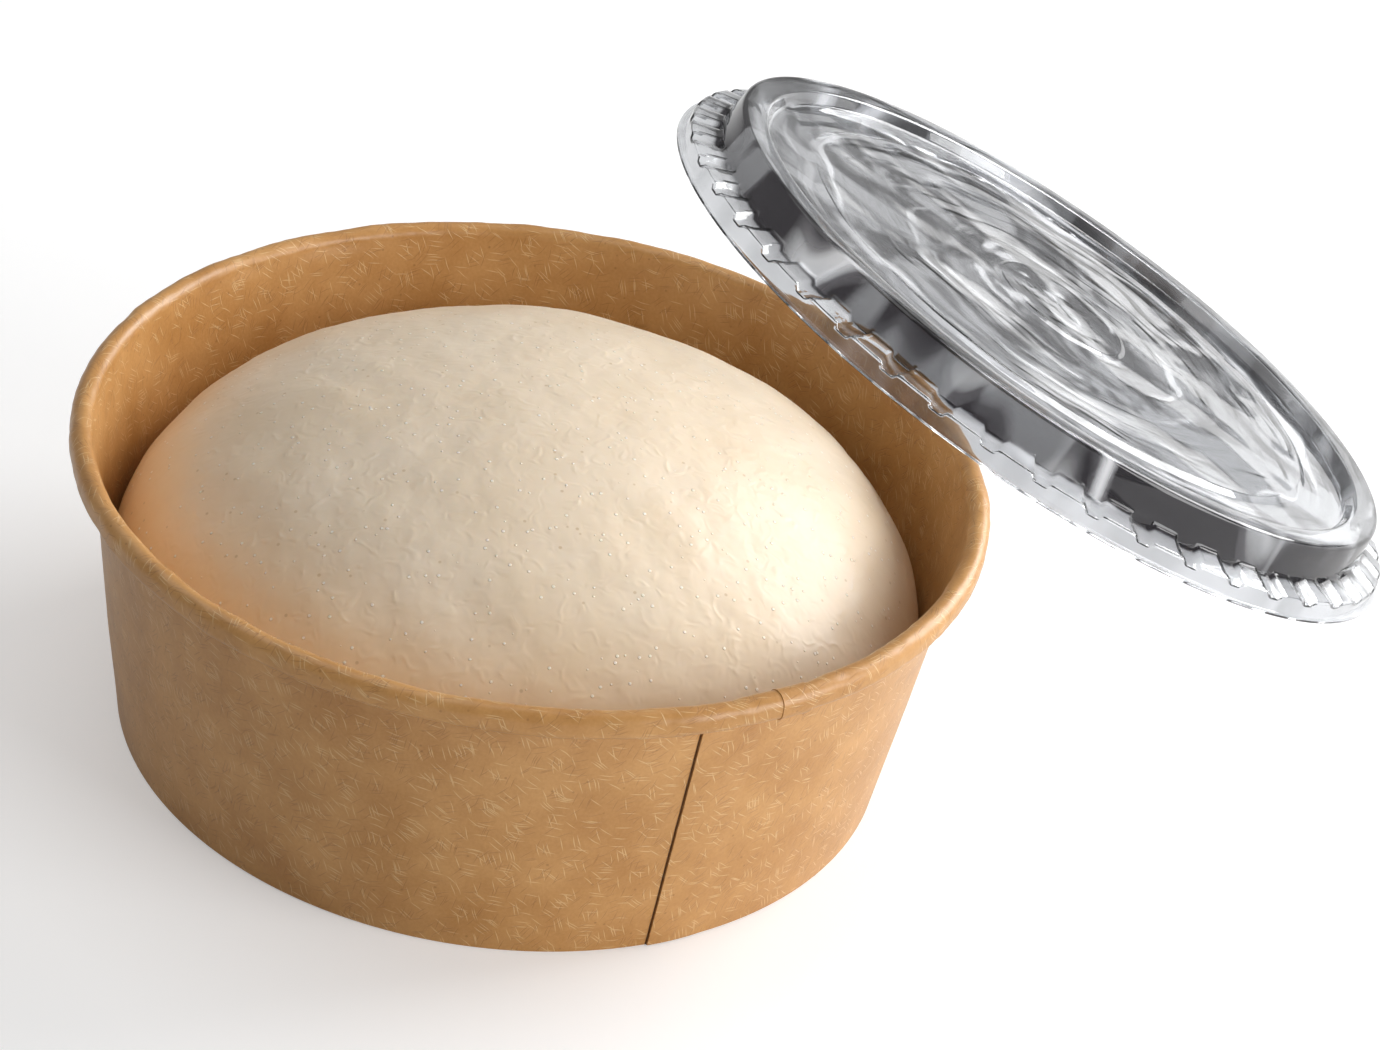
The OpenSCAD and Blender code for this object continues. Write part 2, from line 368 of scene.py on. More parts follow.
@dataclass(frozen=True)
class KraftBoard:
    """Unbleached kraft paperboard, film-coated and formed: brown, satin, with fibres in its face.

    The eye sees a warm brown with soft clouds, short lighter and darker fibres in every direction,
    a few specks, and a faint sheen from the coating.
    """

    light: str = "#D19E60"
    dark: str = "#AF7938"
    fibre_light: str = "#EACB98"
    fibre_dark: str = "#8E5A26"
    # Dark brown of the board's cut edge, and painted shade in the seam's groove.
    cut_edge_and_groove_shade: str = "#5B3513"
    roughness: float = 0.44
    film: float = 0.6
    film_roughness: float = 0.34
    cloud_mm: float = 16.0
    grain_mm: float = 0.7
    # Real fibres are about 0.03 mm wide, which is too fine to show, so they are drawn wider.
    fibre_mm: tuple[float, float] = (4.2, 0.26)
    fibre_share: float = 0.14
    fibre_turns: tuple[float, ...] = (7.0, 38.0, 71.0, 104.0, 133.0, 162.0)
    bend_mm: float = 5.0
    bend: float = 0.45 * MM
    speck_mm: float = 3.2
    relief: float = 0.05 * MM

    def material(self) -> bpy.types.Material:
        """Builds the finish. It reads the piece's own map and its "crevice" value, the painted shade in the seam's
        groove, partly the board's darker cut edge.
        """
        material, tree = new_material("kraft_paperboard")
        place = add_node(tree, "ShaderNodeTexCoord").outputs["Object"]
        chart = add_node(tree, "ShaderNodeUVMap", uv_map="surface").outputs[0]
        bent_chart = self.bent(tree, chart)
        half = len(self.fibre_turns) // 2
        masks = [
            fibre_mask(tree, bent_chart, turn, self.fibre_mm, self.fibre_share)
            for turn in self.fibre_turns
        ]
        pale, deep = strongest(tree, masks[:half]), strongest(tree, masks[half:])
        cloud = add_node(
            tree,
            "ShaderNodeTexNoise",
            {"Vector": place, "Scale": per_metre(self.cloud_mm), "Detail": 3.0, "Roughness": 0.55},
        ).outputs[0]
        grain = add_node(
            tree,
            "ShaderNodeTexNoise",
            {"Vector": place, "Scale": per_metre(self.grain_mm), "Detail": 2.0},
        ).outputs[0]
        tone = add_node(tree, "ShaderNodeMath", {0: scaled(tree, cloud, 1.6, -0.55), 1: scaled(tree, grain, 0.5)}, operation="ADD")
        tone.use_clamp = True
        colour = blended(tree, tone.outputs[0], linear(self.dark), linear(self.light))
        colour = blended(tree, scaled(tree, pale, 0.55), colour, linear(self.fibre_light))
        colour = blended(tree, scaled(tree, deep, 0.42), colour, linear(self.fibre_dark))
        colour = blended(tree, self.specks(tree, place), colour, linear(self.fibre_dark))
        # Painted shade: the seam's groove turns dark brown, partly for the board's own cut edge and partly for the
        # shade in the groove.
        crevice = add_node(tree, "ShaderNodeAttribute", attribute_name="crevice").outputs["Fac"]
        colour = blended(tree, crevice, colour, linear(self.cut_edge_and_groove_shade))
        height = add_node(tree, "ShaderNodeMath", {0: scaled(tree, pale, 0.6), 1: scaled(tree, grain, 0.9)}, operation="ADD")
        height = add_node(tree, "ShaderNodeMath", {0: height.outputs[0], 1: scaled(tree, deep, 0.5)}, operation="SUBTRACT")
        bump = add_node(tree, "ShaderNodeBump", {"Height": height.outputs[0], "Distance": self.relief, "Strength": 1.0})
        gloss = scaled(tree, cloud, 0.14, self.roughness - 0.07)
        shader = add_node(
            tree,
            "ShaderNodeBsdfPrincipled",
            {"Base Color": colour, "Roughness": gloss, "Normal": bump.outputs[0], "IOR": 1.47},
        )
        shader.inputs["Specular IOR Level"].default_value = 0.4
        shader.inputs["Coat Weight"].default_value = self.film
        shader.inputs["Coat Roughness"].default_value = self.film_roughness
        add_node(tree, "ShaderNodeOutputMaterial", {"Surface": shader.outputs[0]})
        return material

    def bent(self, tree: bpy.types.NodeTree, chart: bpy.types.NodeSocket) -> bpy.types.NodeSocket:
        """The chart pushed about by a smooth noise, so that the fibres are slightly curved."""
        noise = add_node(
            tree,
            "ShaderNodeTexNoise",
            {"Vector": chart, "Scale": per_metre(self.bend_mm), "Detail": 1.0},
            noise_dimensions="2D",
        ).outputs["Color"]
        push = add_node(
            tree,
            "ShaderNodeVectorMath",
            {0: noise, 1: (0.5, 0.5, 0.5)},
            operation="SUBTRACT",
        ).outputs[0]
        pushed = add_node(
            tree,
            "ShaderNodeVectorMath",
            {0: push, 1: (2.0 * self.bend,) * 3, 2: chart},
            operation="MULTIPLY_ADD",
        )
        return pushed.outputs[0]

    def specks(self, tree: bpy.types.NodeTree, place: bpy.types.NodeSocket) -> bpy.types.NodeSocket:
        """Sparse small dark specks of bark in the pulp."""
        cells = add_node(
            tree,
            "ShaderNodeTexVoronoi",
            {"Vector": place, "Scale": per_metre(self.speck_mm)},
        )
        dot = add_node(
            tree,
            "ShaderNodeMapRange",
            {"Value": cells.outputs["Distance"], "From Min": 0.11, "From Max": 0.05, "To Max": 0.5},
        )
        return dot.outputs["Result"]


@dataclass(frozen=True)
class RawDough:
    """Proofed wheat dough: cream, soft and slightly translucent, with a tight dry skin.

    The eye sees an even cream with fine pale flecks, tiny creases in the skin and a broad soft
    highlight. Low down beside the board the skin gets a painted warm yellow tint for the warm
    light that the board throws on it, most of all on one side.
    """

    light: str = "#EDDDC7"
    dark: str = "#E0CBAE"
    # Painted bounce light: the warm yellow of the light that the board throws on the dough.
    painted_bounce_gold: str = "#F2BC5C"
    fleck_light: str = "#FFF8EC"
    fleck_dark: str = "#C2A67E"
    roughness: float = 0.4
    cloud_mm: float = 22.0
    crease_mm: float = 3.6
    fleck_mm: float = 2.6
    relief: float = 0.34 * MM
    scatter: float = 2.5 * MM

    def material(self) -> bpy.types.Material:
        """Builds the finish on Object coordinates."""
        material, tree = new_material("raw_wheat_dough")
        place = add_node(tree, "ShaderNodeTexCoord").outputs["Object"]
        cloud = add_node(
            tree,
            "ShaderNodeTexNoise",
            {"Vector": place, "Scale": per_metre(self.cloud_mm), "Detail": 4.0, "Roughness": 0.6},
        ).outputs[0]
        crease = add_node(
            tree,
            "ShaderNodeTexNoise",
            {
                "Vector": place,
                "Scale": per_metre(self.crease_mm),
                "Detail": 3.0,
                "Roughness": 0.55,
                "Distortion": 0.9,
            },
            noise_type="RIDGED_MULTIFRACTAL",
        ).outputs[0]
        colour = blended(tree, scaled(tree, cloud, 1.5, -0.25), linear(self.dark), linear(self.light))
        # Painted bounce light: low down and on one side the cream turns warm yellow, for the light off the board.
        painted_bounce = add_node(tree, "ShaderNodeAttribute", attribute_name="painted_bounce").outputs["Fac"]
        colour = blended(tree, scaled(tree, painted_bounce, 0.75), colour, linear(self.painted_bounce_gold))
        pale = self.flecks(tree, place, self.fleck_mm, 0.09)
        deep = self.flecks(tree, place, self.fleck_mm * 1.7, 0.06)
        colour = blended(tree, scaled(tree, pale, 0.8), colour, linear(self.fleck_light))
        colour = blended(tree, scaled(tree, deep, 0.55), colour, linear(self.fleck_dark))
        height = add_node(tree, "ShaderNodeMath", {0: scaled(tree, crease, 0.5), 1: scaled(tree, pale, 0.6)}, operation="ADD")
        bump = add_node(tree, "ShaderNodeBump", {"Height": height.outputs[0], "Distance": self.relief, "Strength": 1.0})
        shader = add_node(
            tree,
            "ShaderNodeBsdfPrincipled",
            {
                "Base Color": colour,
                "Roughness": scaled(tree, cloud, 0.16, self.roughness - 0.08),
                "Normal": bump.outputs[0],
                "IOR": 1.42,
                "Subsurface Weight": 0.25,
                "Subsurface Radius": (1.0, 0.78, 0.5),
                "Subsurface Scale": self.scatter,
            },
        )
        add_node(tree, "ShaderNodeOutputMaterial", {"Surface": shader.outputs[0]})
        return material

    def flecks(
        self,
        tree: bpy.types.NodeTree,
        place: bpy.types.NodeSocket,
        spacing_mm: float,
        size: float,
    ) -> bpy.types.NodeSocket:
        """Sparse round flecks: spacing in millimetres, and radius as a share of it."""
        cells = add_node(tree, "ShaderNodeTexVoronoi", {"Vector": place, "Scale": per_metre(spacing_mm)})
        dot = add_node(
            tree,
            "ShaderNodeMapRange",
            {"Value": cells.outputs["Distance"], "From Min": size * 1.6, "From Max": size},
        )
        return dot.outputs["Result"]


@dataclass(frozen=True)
class ClearSheet:
    """Clear PET sheet, vacuum-formed: glossy and thin, with painted dark reflection that is strongest on its steep
    walls.

    The eye sees grey glass-like walls, bright lines along each bend, and curved streaks of painted
    bright and dark reflection in the flat panel, which the forming left slightly wavy.
    """

    clear: str = "#E3E5E8"
    # Painted dark reflection: the colour the sheet turns where it stands for mirrored dark surroundings.
    painted_dark_reflection: str = "#2B292C"
    # Painted bright reflection: milky white streaks.
    painted_bright_reflection: str = "#F4F5F7"
    roughness: float = 0.03
    streak_mm: float = 5.5
    streak_turn: float = 1.3
    swirl_mm: float = 30.0
    relief: float = 0.25 * MM

    def material(self) -> bpy.types.Material:
        """Builds the finish. It reads the piece's own map, which lies in the lid's plane, and its share of painted dark
        reflection.
        """
        material, tree = new_material("clear_pet_sheet")
        chart = add_node(tree, "ShaderNodeUVMap", uv_map="surface").outputs[0]
        painted_dark_reflection = add_node(tree, "ShaderNodeAttribute", attribute_name="painted_dark_reflection").outputs["Fac"]
        streaks = self.streaks(tree, chart)
        swirl = add_node(
            tree,
            "ShaderNodeTexNoise",
            {"Vector": chart, "Scale": per_metre(self.swirl_mm), "Detail": 2.0, "Distortion": 1.6},
            noise_dimensions="2D",
        ).outputs[0]
        # Painted dark reflection: dark swirls in the sheet's colour.
        dark = add_node(
            tree,
            "ShaderNodeMapRange",
            {"Value": swirl, "From Min": 0.42, "From Max": 0.62},
        ).outputs["Result"]
        depth = add_node(tree, "ShaderNodeMath", {0: painted_dark_reflection, 1: scaled(tree, dark, 0.55, 0.6)}, operation="MULTIPLY")
        depth.use_clamp = True
        tint = blended(tree, depth.outputs[0], linear(self.clear), linear(self.painted_dark_reflection))
        # Painted bright reflection: milky streaks round the axis, which also let less light through.
        painted_bright_streaks = add_node(tree, "ShaderNodeMapRange", {"Value": streaks, "From Min": 0.58, "From Max": 0.68}).outputs["Result"]
        painted_bright_streaks = add_node(tree, "ShaderNodeMath", {0: painted_bright_streaks, 1: painted_dark_reflection}, operation="MULTIPLY").outputs[0]
        colour = blended(tree, painted_bright_streaks, tint, linear(self.painted_bright_reflection))
        bump = add_node(tree, "ShaderNodeBump", {"Height": streaks, "Distance": self.relief, "Strength": 0.6})
        shader = add_node(
            tree,
            "ShaderNodeBsdfPrincipled",
            {
                "Base Color": colour,
                "Roughness": self.roughness,
                "Normal": bump.outputs[0],
                "IOR": 1.57,
                "Transmission Weight": scaled(tree, painted_bright_streaks, -0.55, 1.0),
            },
        )
        lets_light = add_node(tree, "ShaderNodeBsdfTransparent", {"Color": (0.86, 0.87, 0.88, 1.0)})
        path = add_node(tree, "ShaderNodeLightPath")
        both = add_node(
            tree,
            "ShaderNodeMixShader",
            {0: path.outputs["Is Shadow Ray"], 1: shader.outputs[0], 2: lets_light.outputs[0]},
        )
        add_node(tree, "ShaderNodeOutputMaterial", {"Surface": both.outputs[0]})
        return material

    def streaks(self, tree: bpy.types.NodeTree, chart: bpy.types.NodeSocket) -> bpy.types.NodeSocket:
        """Streaks that follow circles about the lid's axis.

        The noise is read at the direction from the axis, times a small number, and at the radius,
        times a large one, so that it is long round the lid and narrow across it.
        """
        noise = add_node(
            tree,
            "ShaderNodeTexNoise",
            {"Vector": chart, "Scale": per_metre(30.0), "Detail": 1.0},
            noise_dimensions="2D",
        ).outputs["Color"]
        pushed = add_node(
            tree,
            "ShaderNodeVectorMath",
            {0: noise, 1: (11.0 * MM, 11.0 * MM, 0.0), 2: chart},
            operation="MULTIPLY_ADD",
        ).outputs[0]
        middle = add_node(tree, "ShaderNodeVectorMath", {0: pushed, 1: (5.5 * MM, 5.5 * MM, 0.0)}, operation="SUBTRACT").outputs[0]
        radius = add_node(tree, "ShaderNodeVectorMath", {0: middle}, operation="LENGTH").outputs["Value"]
        way = add_node(tree, "ShaderNodeVectorMath", {0: middle}, operation="NORMALIZE").outputs[0]
        way = add_node(tree, "ShaderNodeVectorMath", {0: way, "Scale": self.streak_turn}, operation="SCALE").outputs[0]
        apart = add_node(tree, "ShaderNodeSeparateXYZ", {0: way})
        spot = add_node(
            tree,
            "ShaderNodeCombineXYZ",
            {0: apart.outputs[0], 1: apart.outputs[1], 2: scaled(tree, radius, per_metre(self.streak_mm))},
        )
        return add_node(
            tree,
            "ShaderNodeTexNoise",
            {"Vector": spot.outputs[0], "Scale": 1.0, "Detail": 2.0, "Roughness": 0.45},
        ).outputs[0]


# Pieces


@dataclass(frozen=True)
class PaperBowl:
    """The board bowl: its rolled wall and the disc that is held in the fold at its foot."""

    foot_radius: float = 79.25 * MM
    board: float = 0.5 * MM
    rim_width: float = 5.1 * MM
    rim_height: float = 6.2 * MM
    slit: float = 0.4 * MM
    seam_angle: float = -84.3
    lap_width: float = 8.7
    lap_step: float = 0.4 * MM
    curl_lap_width: float = 4.1
    curl_lap_step: float = 0.2 * MM
    fold: float = 0.3 * MM
    recess: float = 5.0 * MM
    glue_gap: float = 0.05 * MM
    fold_gap: float = 0.4 * MM
    columns: int = 600
    crevice_width: float = 0.16
    crevice_depth: float = 0.22 * MM

    @property
    def rim_radius(self) -> float:
        """Outside radius of the rolled rim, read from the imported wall."""
        return -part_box("side_wall")[0].x

    @property
    def height(self) -> float:
        """Height of the rim's top beside its lap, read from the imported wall."""
        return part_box("side_wall")[1].z - self.curl_lap_step

    @property
    def curl_radius(self) -> float:
        """Radius of the half rounds of the rolled rim's section."""
        return self.rim_width / 2.0

    @property
    def curl_half(self) -> float:
        """Half the height of the straight sides of the rolled rim's section."""
        return self.rim_height / 2.0 - self.curl_radius

    @property
    def curl_middle(self) -> float:
        """Height of the middle of the rolled rim's section."""
        return self.height - self.rim_height / 2.0

    def outer(self, height: float) -> float:
        """Radius of the wall's outer face at a height: a straight cone from the foot into the rim."""
        top = self.rim_radius - self.rim_width + self.board
        return self.foot_radius + (top - self.foot_radius) * height / self.curl_middle

    def wall_line(self) -> tuple[np.ndarray, np.ndarray, np.ndarray]:
        """The closed section of the wall: up its outer face, round both faces of the curl, and down.

        Returns:
            The points, and for each its share of the lap seam and of the curl's unevenness.
        """
        ring = self.rim_radius - self.curl_radius
        low, high = self.curl_middle - self.curl_half, self.curl_middle + self.curl_half
        bore = self.curl_radius - self.board
        end_radius = ring - self.curl_radius + self.board + self.slit
        end_out = math.degrees(math.acos((end_radius - ring) / self.curl_radius))
        end_in = math.degrees(math.acos((end_radius - ring) / bore))
        outer_face = divided(np.array([[self.outer(self.fold), self.fold], [ring - bore, low]]), 2.5 * MM)
        inside_curl = np.vstack([arc((ring, high), bore, 180.0, 0.0, 8), arc((ring, low), bore, 0.0, -end_in, 8)])
        lower = arc((ring, low), self.curl_radius, -end_out, 0.0, 14)
        upper = arc((ring, high), self.curl_radius, 0.0, 180.0, 20)
        inner_face = divided(np.array([[ring - self.curl_radius, low], [self.outer(self.board) - self.board, self.board]]), 2.5 * MM)
        hem_out = 2.0 * (self.board + self.glue_gap)
        hem_in = hem_out + self.board
        hem_top = self.recess - self.fold_gap
        hem = np.array(
            [
                [self.outer(self.board) - hem_out, self.board],
                [self.outer(hem_top) - hem_out, hem_top],
                [self.outer(hem_top) - hem_in, hem_top],
                [self.outer(self.fold) - hem_in, self.fold],
                [self.outer(0.0) - hem_in + self.fold, 0.0],
                [self.outer(0.0) - self.fold, 0.0],
            ]
        )
        parts = [outer_face, inside_curl, lower, upper, inner_face, hem]
        line = np.vstack(parts)
        owner = np.repeat(np.arange(len(parts)), [len(part) for part in parts])
        taper = 1.0 - smooth_step(line[:, 1], low - 3.0 * MM, low - 1.2 * MM)
        lap = np.where(owner == 0, taper, 0.0)
        curl = np.isin(owner, (2, 3)).astype(float)
        return line, lap, curl

    def column_angles(self) -> np.ndarray:
        """Angles of the columns, from the seam's edge round to just before it, in radians.

        Extra columns stand close together at the seam and at both ends of the curl's lap, where
        the board steps up or down.
        """
        sharp = 0.03
        curl_start = self.lap_width
        curl_end = curl_start + self.curl_lap_width
        even = np.arange(self.columns) * 360.0 / self.columns
        extra = [sharp, curl_start - sharp, curl_start, curl_end, curl_end + sharp]
        extra += [360.0 - 2.0 * self.crevice_width, 360.0 - self.crevice_width, 360.0 - sharp]
        angles = np.unique(np.concatenate([even, extra]))
        return np.radians(angles + self.seam_angle)

    def side_wall(self, finish: bpy.types.Material) -> bpy.types.Object:
        """The wall with its curl, lap seam and folded foot."""
        line, lap_share, curl_share = self.wall_line()
        angles = self.column_angles()
        past_seam = np.degrees(angles) - self.seam_angle
        lap = np.where(past_seam < self.lap_width, 1.0 - (past_seam / self.lap_width) ** 2, 0.0) * self.lap_step
        before_seam = 360.0 - past_seam
        crevice = 1.0 - smooth_step(before_seam, self.crevice_width, 2.0 * self.crevice_width)
        in_curl_lap = (past_seam >= self.lap_width) & (past_seam <= self.lap_width + self.curl_lap_width)
        curl_lap = np.where(in_curl_lap, self.curl_lap_step, 0.0)
        ring = self.rim_radius - self.curl_radius
        from_ring = line - np.array([ring, self.curl_middle])
        from_ring /= np.linalg.norm(from_ring, axis=1, keepdims=True)
        base = turned(line[:, 0], line[:, 1], angles)
        wave = 0.07 * MM * ripple(base, 13.0 * MM, 11) + 0.035 * MM * ripple(base, 4.5 * MM, 12)
        push = curl_share[:, None] * (curl_lap[None, :] + wave - wave.max())
        bow = 0.09 * MM * ripple(base, 45.0 * MM, 13) + 0.02 * MM * ripple(base, 9.0 * MM, 14)
        bow *= smooth_step(base[..., 2], 2.0 * MM, 20.0 * MM) * (1.0 - curl_share[:, None])
        seam = lap_share[:, None] * (lap - crevice * self.crevice_depth)[None, :]
        radius = line[:, :1] + push * from_ring[:, :1] + bow + seam
        height = line[:, 1:] + push * from_ring[:, 1:]
        points = turned(radius, height, angles)
        reach = path_length(np.vstack([line, line[:1]]))
        around = np.append(angles, angles[0] + 2.0 * math.pi) * ring
        chart = np.stack(np.meshgrid(around, reach), axis=-1)
        # Painted shade in the seam's groove, partly the board's darker cut edge: how far the colour turns dark brown
        # there.
        shade = lap_share[:, None] * crevice[None, :] * 0.85
        piece = grid_piece("paper_wall", points, chart, Ends.RING, {"crevice": shade})
        return dressed(piece, finish, "bowl", "side_wall")

    def bottom_disc(self, finish: bpy.types.Material) -> bpy.types.Object:
        """The disc with its edge turned down into the fold of the wall."""
        skirt_out = self.board + self.glue_gap
        skirt_in = skirt_out + self.board
        skirt_low = self.board + self.fold_gap
        top = self.recess + self.board
        bend = 0.4 * MM
        under_face = np.array(
            [
                [0.0, self.recess],
                [self.outer(self.recess) - skirt_in, self.recess],
                [self.outer(skirt_low) - skirt_in, skirt_low],
                [self.outer(skirt_low) - skirt_out, skirt_low],
                [self.outer(top) - skirt_out, top],
                [0.0, top],
            ]
        )
        line = divided(rounded(under_face, bend, 3), 4.0 * MM)
        angles = np.radians(np.arange(360) + self.seam_angle)
        points = turned(line[:, 0], line[:, 1], angles)
        ends = np.append(angles, angles[0] + 2.0 * math.pi)
        chart = turned(line[:, 0], line[:, 1], ends)[..., :2]
        piece = grid_piece("paper_bottom", points, chart, Ends.POLES)
        return dressed(piece, finish, "bowl", "bottom_disc")


@dataclass(frozen=True)
class DoughBall:
    """The risen dough: it fills the foot of the bowl and rises out of it in a low dome."""

    waist_height: float = 31.0 * MM
    edge_radius: float = 6.0 * MM
    wall_gap: float = 0.9 * MM
    # Painted bounce light: the side where it is strongest, and the least share on the other sides.
    bounce_side: float = 212.0
    bounce_least: float = 0.12
    columns: int = 480
    dome_rows: int = 118

    def build(self, bowl: PaperBowl, finish: bpy.types.Material) -> bpy.types.Object:
        """The dough as one closed skin.

        Its section is a straight cone beside the wall, and above the waist the quarter ellipse
        r = R cos a, z = w + H sin a. The dome is then moved along its normal by ripples, which
        fade out towards the wall.
        """
        low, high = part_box("dough")
        waist = bowl.outer(self.waist_height) - self.wall_gap
        foot = bowl.outer(low.z) - self.wall_gap
        lower = rounded(np.array([[0.0, low.z], [foot, low.z], [waist, self.waist_height]]), self.edge_radius, 8)
        lower = divided(lower, 3.0 * MM)
        rise = np.linspace(0.0, math.pi / 2.0, self.dome_rows + 1)[1:]
        dome_height = high.z - self.waist_height - 0.4 * MM
        dome = np.stack([waist * np.cos(rise), self.waist_height + dome_height * np.sin(rise)], axis=1)
        line = np.vstack([lower, dome])
        angles = np.arange(self.columns) * 2.0 * math.pi / self.columns
        base = turned(line[:, 0], line[:, 1], angles)
        along = np.gradient(line, axis=0)
        normal = np.stack([along[:, 1], -along[:, 0]], axis=1)
        normal /= np.linalg.norm(normal, axis=1, keepdims=True)
        free = smooth_step(base[..., 2], self.waist_height - 2.0 * MM, self.waist_height + 16.0 * MM)
        wave = 0.30 * MM * ripple(base, 55.0 * MM, 21) + 0.09 * MM * ripple(base, 16.0 * MM, 22)
        wave += 0.03 * MM * ripple(base, 5.5 * MM, 23, 40) + 0.012 * MM * ripple(base, 2.6 * MM, 24, 48)
        push = free * np.clip(wave, -1.0 * MM, 0.45 * MM)
        push[-1] = push[-1].mean()
        points = turned(line[:, :1] + push * normal[:, :1], line[:, 1:] + push * normal[:, 1:], angles)
        points[-1, :, :2] = 0.0
        reach = path_length(line)
        around = np.append(angles, 2.0 * math.pi) * waist
        chart = np.stack(np.meshgrid(around, reach), axis=-1)
        # Painted bounce light: how far the colour turns warm yellow, most low down and towards the side the board
        # lights.
        turn = angles - math.radians(self.bounce_side)
        facing = self.bounce_least + (1.0 - self.bounce_least) * np.clip(np.cos(turn), 0.0, 1.0)
        painted_bounce = (1.0 - smooth_step(base[..., 2], 34.0 * MM, 68.0 * MM)) * facing
        piece = grid_piece("dough_ball", points, chart, Ends.POLES, {"painted_bounce": painted_bounce})
        return dressed(piece, finish, "contents", "dough")


@dataclass(frozen=True)
class SnapLid:
    """The clear lid, formed from one sheet, lying where it was put down."""

    sheet: float = 0.5 * MM
    skirt_radius: float = 93.4 * MM
    skirt_height: float = 4.4 * MM
    ledge: float = 0.4 * MM
    cap_width: float = 6.2 * MM
    cap_rise: float = 1.6 * MM
    height: float = 13.8 * MM
    wall_draft: float = 1.0 * MM
    crown: float = 6.4 * MM
    panel_drop: float = 2.8 * MM
    low_ring_radius: float = 67.5 * MM
    panel_rise: float = 0.9 * MM
    mark_radius: float = 17.0 * MM
    mark_height: float = 0.6 * MM
    bend: float = 1.1 * MM
    notches: int = 45
    notch_drop: float = 1.1 * MM
    notch_wide: float = 3.6
    notch_narrow: float = 2.4
    tilt: float = 26.3
    columns_per_notch: int = 14

    @property
    def foot(self) -> tuple[float, float]:
        """Radius and height of the foot of the wall."""
        return self.skirt_radius - self.ledge - self.cap_width, self.skirt_height + self.cap_rise

    @property
    def lip_radius(self) -> float:
        """Radius of the lip's edge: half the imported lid's width across its tilt."""
        low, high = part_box("lid")
        return (high.y - low.y) / 2.0

    def placement(self) -> Matrix:
        """Turns and moves the level lid to where it leans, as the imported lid's box says."""
        low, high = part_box("lid")
        tilt = math.radians(self.tilt)
        centre = Vector(
            (
                low.x + self.lip_radius * math.cos(tilt),
                (low.y + high.y) / 2.0,
                low.z + self.lip_radius * math.sin(tilt),
            )
        )
        return Matrix.Translation(centre) @ Matrix.Rotation(tilt, 4, "Y")

    def corners(self) -> np.ndarray:
        """Corners of the upper face from the middle to the lip: radius and height."""
        foot_radius, foot_height = self.foot
        crown_out = foot_radius - self.wall_draft
        crown_in = crown_out - self.crown
        low_ring = self.height - self.panel_drop
        panel = low_ring + self.panel_rise
        return np.array(
            [
                [0.0, panel + self.mark_height],
                [self.mark_radius - self.mark_height, panel + self.mark_height],
                [self.mark_radius + self.mark_height, panel],
                [self.low_ring_radius - 2.0 * self.panel_rise, panel],
                [self.low_ring_radius, low_ring],
                [crown_in - self.panel_drop / 2.0, low_ring],
                [crown_in, self.height],
                [crown_out, self.height],
                [foot_radius, foot_height],
                [self.skirt_radius - self.ledge, self.skirt_height],
                [self.skirt_radius, self.skirt_height - self.ledge],
                [self.skirt_radius + self.sheet / 2.0, self.sheet],
                [self.lip_radius, self.sheet],
            ]
        )

    def build(self, finish: bpy.types.Material) -> bpy.types.Object:
        """The lid as one closed skin: its upper face, the edge of its lip and its lower face.

        A notch runs from the foot of the wall out through the top of the skirt, and is widest at
        the wall. In it, each face of the sheet lies no higher than the notch's floor.
        """
        upper = self.with_rim_rows(divided(rounded(self.corners(), self.bend, 4), 2.4 * MM))
        lower = beside(upper, self.sheet)[::-1]
        line = np.vstack([upper, lower])
        below = np.repeat([0.0, self.sheet], [len(upper), len(lower)])
        columns = self.notches * self.columns_per_notch
        angles = (np.arange(columns) + 0.5) * 2.0 * math.pi / columns
        pitch = 360.0 / self.notches
        from_notch = np.abs((np.degrees(angles) % pitch) - pitch / 2.0)
        drop = self.notch_share(line, below, from_notch) * self.above_floor(line, below)[:, None]
        base = turned(line[:, 0], line[:, 1], angles)
        flat = smooth_step(-line[:, 0], -76.0 * MM, -60.0 * MM)[:, None]
        wave = 0.22 * MM * ripple(base, 34.0 * MM, 31) + 0.05 * MM * ripple(base, 12.0 * MM, 32)
        points = turned(line[:, :1], line[:, 1:] + wave * flat - drop, angles)
        points[[0, -1], :, :2] = 0.0
        points[0, :, 2] = points[0, :, 2].mean()
        points[-1, :, 2] = points[-1, :, 2].mean()
        ends = np.append(angles, angles[0] + 2.0 * math.pi)
        chart = turned(line[:, 0], line[:, 1], ends)[..., :2]
        # Painted dark reflection: one share for each row of the section, the same all round.
        painted_dark_reflection = np.broadcast_to(self.painted_dark_reflection_along(line)[:, None], base.shape[:2])
        piece = grid_piece("clear_lid", points, chart, Ends.POLES, {"painted_dark_reflection": painted_dark_reflection}, crease=60.0)
        piece.data.transform(self.placement())
        return dressed(piece, finish, "lid", "lid")

    def with_rim_rows(self, line: np.ndarray) -> np.ndarray:
        """The line with more points from the foot of the wall outwards, where the notches are."""
        start = np.flatnonzero(line[:, 0] > self.foot[0] - self.sheet)[0]
        while line[start, 1] > self.foot[1] + 2.0 * self.sheet:
            start += 1
        return np.vstack([line[:start], divided(line[start:], 0.55 * MM)])

    def above_floor(self, line: np.ndarray, below: np.ndarray) -> np.ndarray:
        """How far each point of the section lies above the floor of a notch."""
        foot_radius, foot_height = self.foot
        along = (line[:, 0] - foot_radius) / (self.skirt_radius - foot_radius)
        floor = foot_height - self.notch_drop - self.cap_rise * np.clip(along, 0.0, 1.0) - below
        return np.clip(line[:, 1] - floor, 0.0, None)

